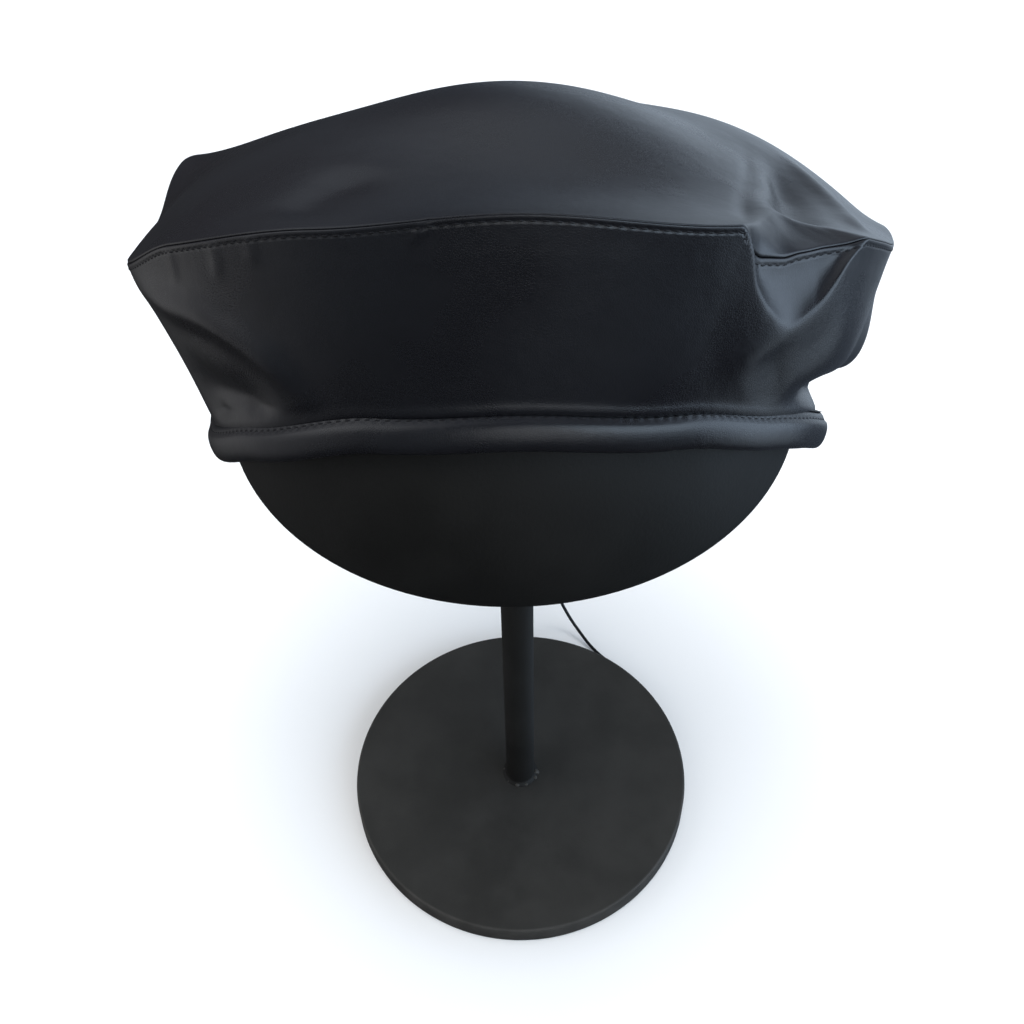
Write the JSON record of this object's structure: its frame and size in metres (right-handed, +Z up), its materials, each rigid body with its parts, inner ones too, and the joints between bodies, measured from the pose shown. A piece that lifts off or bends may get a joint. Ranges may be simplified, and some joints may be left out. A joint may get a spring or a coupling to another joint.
{
  "type": "leather beret on a hat stand",
  "caption": "Soft leather beret with a padded head band, resting on a plain dome hat stand with a round base and a thin post.",
  "frame": {"origin": "centre of the underside of the stand's base", "axes": "+Z up along the post, -Y the side the beret's front edge faces, +X to the wearer's left"},
  "size_m": [0.2333, 0.2391, 0.3833],
  "materials": {
    "stand_paint": "matte black paint",
    "band_leather": "smooth satin leather, near black with a blue cast",
    "crown_leather": "smooth satin leather, near black with a blue cast",
    "cord": "round black cord"
  },
  "bodies": {
    "root": {"stand_base": "stand_paint", "stand_post": "stand_paint", "stand_dome": "stand_paint", "head_band": "band_leather", "crown_side": "crown_leather", "crown_top": "crown_leather", "drawstring": "cord"}
  },
  "joints": []
}
